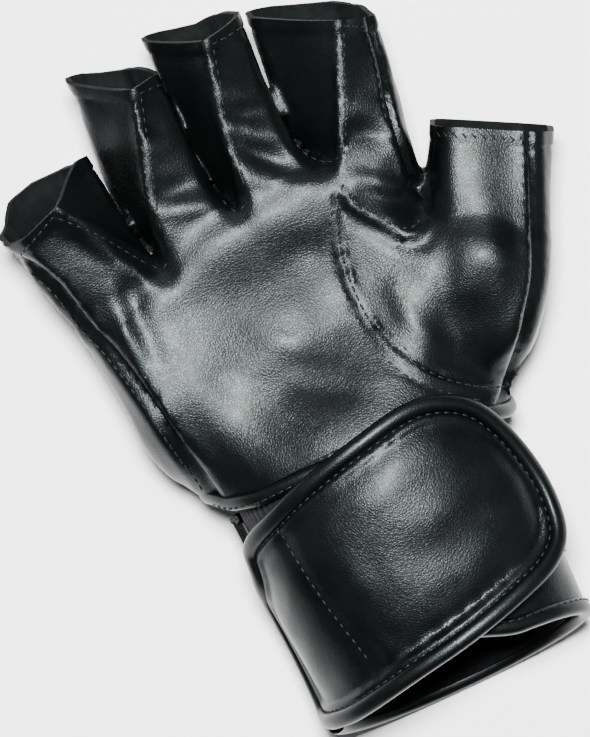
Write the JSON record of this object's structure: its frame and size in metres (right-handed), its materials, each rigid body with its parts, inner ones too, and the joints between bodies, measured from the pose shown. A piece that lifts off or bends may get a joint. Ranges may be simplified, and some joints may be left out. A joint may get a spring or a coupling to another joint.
{
  "type": "mma glove",
  "caption": "Open-finger grappling glove for the right hand: padded back, half-finger tubes, thumb sleeve, wide cuff and a hook-and-loop wrist flap.",
  "frame": {"origin": "under the middle of the glove, on the surface that its padded back lies on", "axes": "+Y along the cuff towards the fingertips, +X to the thumb side, +Z out of the palm"},
  "size_m": [0.1708, 0.2152, 0.0675],
  "materials": {
    "leather": "smooth black synthetic leather with a fine grain and a soft sheen",
    "foam": "closed-cell padding foam, matt",
    "piping": "rolled leather edge binding",
    "thread": "bonded polyester sewing thread",
    "elastic": "ribbed stretch webbing",
    "lining": "brushed polyester lining",
    "loop_pile": "soft loop pile",
    "hook_tape": "moulded hook tape"
  },
  "bodies": {
    "hand": {"palm_panel": "leather", "thenar_panel": "leather", "palm_lining": "lining", "back_panel": "leather", "back_foam": "foam", "knuckle_foam": "foam", "back_lining": "lining", "ulnar_side_panel": "leather", "radial_side_panel": "leather", "thenar_side_panel": "leather", "thenar_stitching": "thread", "hand_binding": "piping", "wrist_elastic": "elastic", "cuff_lining": "lining", "cuff_band": "leather", "cuff_foam": "foam", "cuff_binding": "piping", "loop_patch": "loop_pile", "flap_anchor_leather": "leather", "flap_anchor_binding": "piping", "flap_stitching": "thread"},
    "index": {"index_front": "leather", "index_back": "leather", "index_ulnar_wall": "leather", "index_radial_wall": "leather", "index_pad": "foam", "index_hem": "leather"},
    "middle": {"middle_front": "leather", "middle_back": "leather", "middle_ulnar_wall": "leather", "middle_radial_wall": "leather", "middle_pad": "foam", "middle_hem": "leather"},
    "ring": {"ring_front": "leather", "ring_back": "leather", "ring_ulnar_wall": "leather", "ring_radial_wall": "leather", "ring_pad": "foam", "ring_hem": "leather"},
    "pinky": {"pinky_front": "leather", "pinky_back": "leather", "pinky_ulnar_wall": "leather", "pinky_radial_wall": "leather", "pinky_pad": "foam", "pinky_hem": "leather"},
    "thumb": {"thumb_front": "leather", "thumb_back": "leather", "thumb_ulnar_wall": "leather", "thumb_radial_wall": "leather", "thumb_pad": "foam", "thumb_hem": "leather"},
    "strap": {"flap_root_leather": "leather", "flap_root_foam": "foam", "flap_root_lining": "lining", "flap_root_binding": "piping"},
    "strap_tab": {"flap_tip_leather": "leather", "flap_tip_foam": "foam", "flap_tip_lining": "lining", "flap_tip_binding": "piping", "hook_patch": "hook_tape"}
  },
  "joints": [
    {"name": "index_bend", "type": "hinge", "parent": "hand", "child": "index", "pos_m": [0.02892, 0.06202, 0.036], "axis": [0.9925, -0.1219, 0], "range_deg": [-8, 45], "stiffness_Nm_per_rad": 0.15},
    {"name": "middle_bend", "type": "hinge", "parent": "hand", "child": "middle", "pos_m": [-0.00168, 0.06202, 0.036], "axis": [1, 0, 0], "range_deg": [-8, 45], "stiffness_Nm_per_rad": 0.15},
    {"name": "ring_bend", "type": "hinge", "parent": "hand", "child": "ring", "pos_m": [-0.03048, 0.06202, 0.036], "axis": [1, 0, 0], "range_deg": [-8, 45], "stiffness_Nm_per_rad": 0.15},
    {"name": "pinky_bend", "type": "hinge", "parent": "hand", "child": "pinky", "pos_m": [-0.06028, 0.04722, 0.036], "axis": [0.9903, 0.1392, 0], "range_deg": [-6, 40], "stiffness_Nm_per_rad": 0.15},
    {"name": "thumb_bend", "type": "hinge", "parent": "hand", "child": "thumb", "pos_m": [0.05772, 0.01992, 0.034], "axis": [0.866, -0.5, 0], "range_deg": [-5, 30], "stiffness_Nm_per_rad": 0.15},
    {"name": "strap_lift", "type": "hinge", "parent": "hand", "child": "strap", "pos_m": [-0.04368, -0.06898, 0.05892], "axis": [0, -1, 0], "range_deg": [0, 120]},
    {"name": "strap_tab_peel", "type": "hinge", "parent": "strap", "child": "strap_tab", "pos_m": [0.00132, -0.06398, 0.06617], "axis": [0, -1, 0], "range_deg": [0, 70]}
  ]
}
